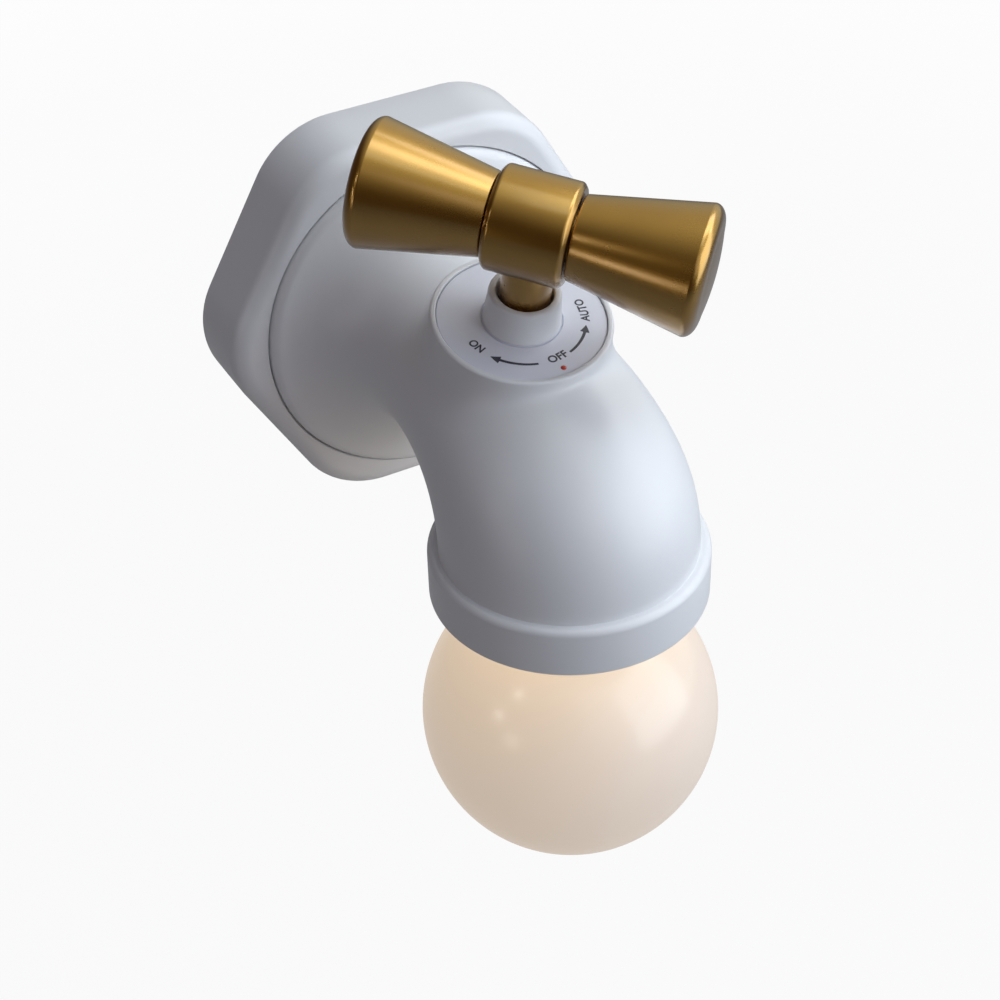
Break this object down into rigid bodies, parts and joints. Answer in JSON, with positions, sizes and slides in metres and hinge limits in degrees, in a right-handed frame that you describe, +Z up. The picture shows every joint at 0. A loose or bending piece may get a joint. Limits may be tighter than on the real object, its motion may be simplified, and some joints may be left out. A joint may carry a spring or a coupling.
{
  "type": "wall light",
  "caption": "Rechargeable wall light shaped like a water tap: hexagonal base, elbow with a printed dial, cross handle that turns as the switch, and a milky globe.",
  "frame": {"origin": "centre of the round face of the adhesive pad that rests on the wall, on the axis of the hexagonal base", "axes": "+Z is up, +Y points into the wall along the base's axis, so the light stands out toward -Y, and +X points to the right for someone who looks at the wall"},
  "size_m": [0.0864, 0.104, 0.1533],
  "materials": {
    "white_plastic": "satin",
    "cover_plastic": "fine matte",
    "dial_print": "printed",
    "red_indicator": "glossy",
    "antique_gold": "brushed, anodised",
    "milky_diffuser": "translucent, satin",
    "black_plastic": "matte",
    "plated_steel": "zinc plated",
    "magnet": "nickel plated",
    "cast_aluminium": "satin",
    "foam": "closed cell",
    "white_rubber": "matte",
    "cell_foil": "foil pouch",
    "green_board": "solder mask",
    "white_board": "solder mask",
    "led_phosphor": "phosphor",
    "wire_jacket": "soft sleeve"
  },
  "bodies": {
    "lamp": {"adhesive_pad": "foam", "wall_plate": "plated_steel", "magnets": "magnet", "back_cover": "cover_plastic", "cover_screws": "plated_steel", "base_housing": "white_plastic", "battery_cell": "cell_foil", "battery_pad": "foam", "control_board": "green_board", "board_screws": "plated_steel", "usb_socket": "plated_steel", "microphone": "plated_steel", "elbow_screws": "plated_steel", "elbow_body": "white_plastic", "dial_plate": "dial_print", "status_light": "red_indicator", "stem_bonnet": "white_plastic", "bonnet_nut": "plated_steel", "rotary_switch": "black_plastic", "switch_bracket": "plated_steel", "bracket_screws": "plated_steel", "lamp_collar": "white_plastic", "led_carrier": "cast_aluminium", "led_board": "white_board", "led_chips": "led_phosphor", "led_screws": "plated_steel", "globe": "milky_diffuser", "globe_gasket": "white_rubber", "battery_leads": "wire_jacket", "switch_leads": "wire_jacket", "lamp_leads": "wire_jacket"},
    "handle": {"valve_stem": "antique_gold", "stem_clip": "plated_steel", "handle_hub": "antique_gold", "left_knob": "antique_gold", "right_knob": "antique_gold", "cross_rod": "plated_steel", "switch_rotor": "black_plastic"}
  },
  "joints": [
    {"name": "handle_turn", "type": "hinge", "parent": "lamp", "child": "handle", "pos_m": [0, -0.0567, 0.0196], "axis": [0, -0.2317, 0.9728], "range_deg": [-75, 75]}
  ]
}
